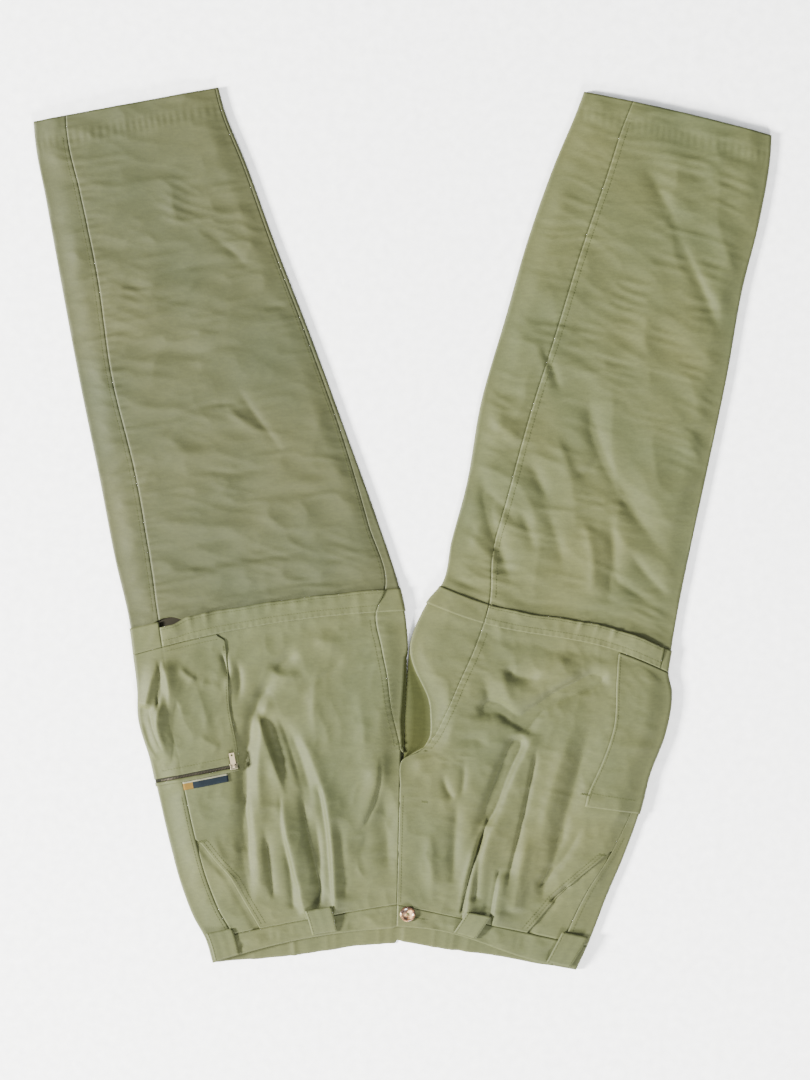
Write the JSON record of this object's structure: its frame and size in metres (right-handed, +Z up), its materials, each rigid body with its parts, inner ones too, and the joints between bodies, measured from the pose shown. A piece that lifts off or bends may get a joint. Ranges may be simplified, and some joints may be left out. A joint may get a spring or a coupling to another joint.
{
  "type": "convertible zip-off trousers",
  "caption": "Sage cotton convertible trousers laid flat on their back, with zip-off lower legs under knee flaps, cargo pockets and a wide waistband with belt loops",
  "frame": {"origin": "centre of the underside the trousers rest on", "axes": "+Y from the waist to the hems, +X to the wearer's right, +Z up from the surface"},
  "size_m": [0.865, 1.0334, 0.0174],
  "materials": {
    "sage_cotton": "washed cotton canvas",
    "zip_tape": "woven tape",
    "label": "woven label, left plain",
    "zip_metal": "worn antique brass",
    "pull_brass": "dull pale brass",
    "horn": "tortoiseshell pattern"
  },
  "bodies": {
    "garment": {"left_leg_front": "sage_cotton", "left_leg_back": "sage_cotton", "left_knee_zip_front": "zip_tape", "left_knee_zip_back": "zip_tape", "left_knee_flap_front": "sage_cotton", "left_knee_flap_back": "sage_cotton", "left_front": "sage_cotton", "left_back": "sage_cotton", "left_pocket_facing": "sage_cotton", "right_leg_front": "sage_cotton", "right_leg_back": "sage_cotton", "right_knee_zip_front": "zip_tape", "right_knee_zip_back": "zip_tape", "right_knee_flap_front": "sage_cotton", "right_knee_flap_back": "sage_cotton", "right_front": "sage_cotton", "right_back": "sage_cotton", "right_pocket_facing": "sage_cotton", "left_cargo_pocket": "sage_cotton", "left_cargo_zip": "zip_tape", "left_cargo_welt": "sage_cotton", "left_cargo_label": "label", "left_cargo_slider": "zip_metal", "right_cargo_pocket": "sage_cotton", "waistband_left_front": "sage_cotton", "waistband_right_front": "sage_cotton", "waistband_back": "sage_cotton", "fly_shield": "sage_cotton", "left_outer_belt_loop": "sage_cotton", "left_inner_belt_loop": "sage_cotton", "right_inner_belt_loop": "sage_cotton", "right_outer_belt_loop": "sage_cotton", "button": "horn", "left_knee_slider": "zip_metal", "right_knee_slider": "zip_metal"},
    "pull_tab": {"left_cargo_pull": "pull_brass"}
  },
  "joints": [
    {"name": "pull_tab_hinge", "type": "hinge", "parent": "garment", "child": "pull_tab", "pos_m": [-0.19692, -0.27767, 0.01518], "axis": [0.9815, 0.1917, 0], "range_deg": [0, 150]}
  ]
}
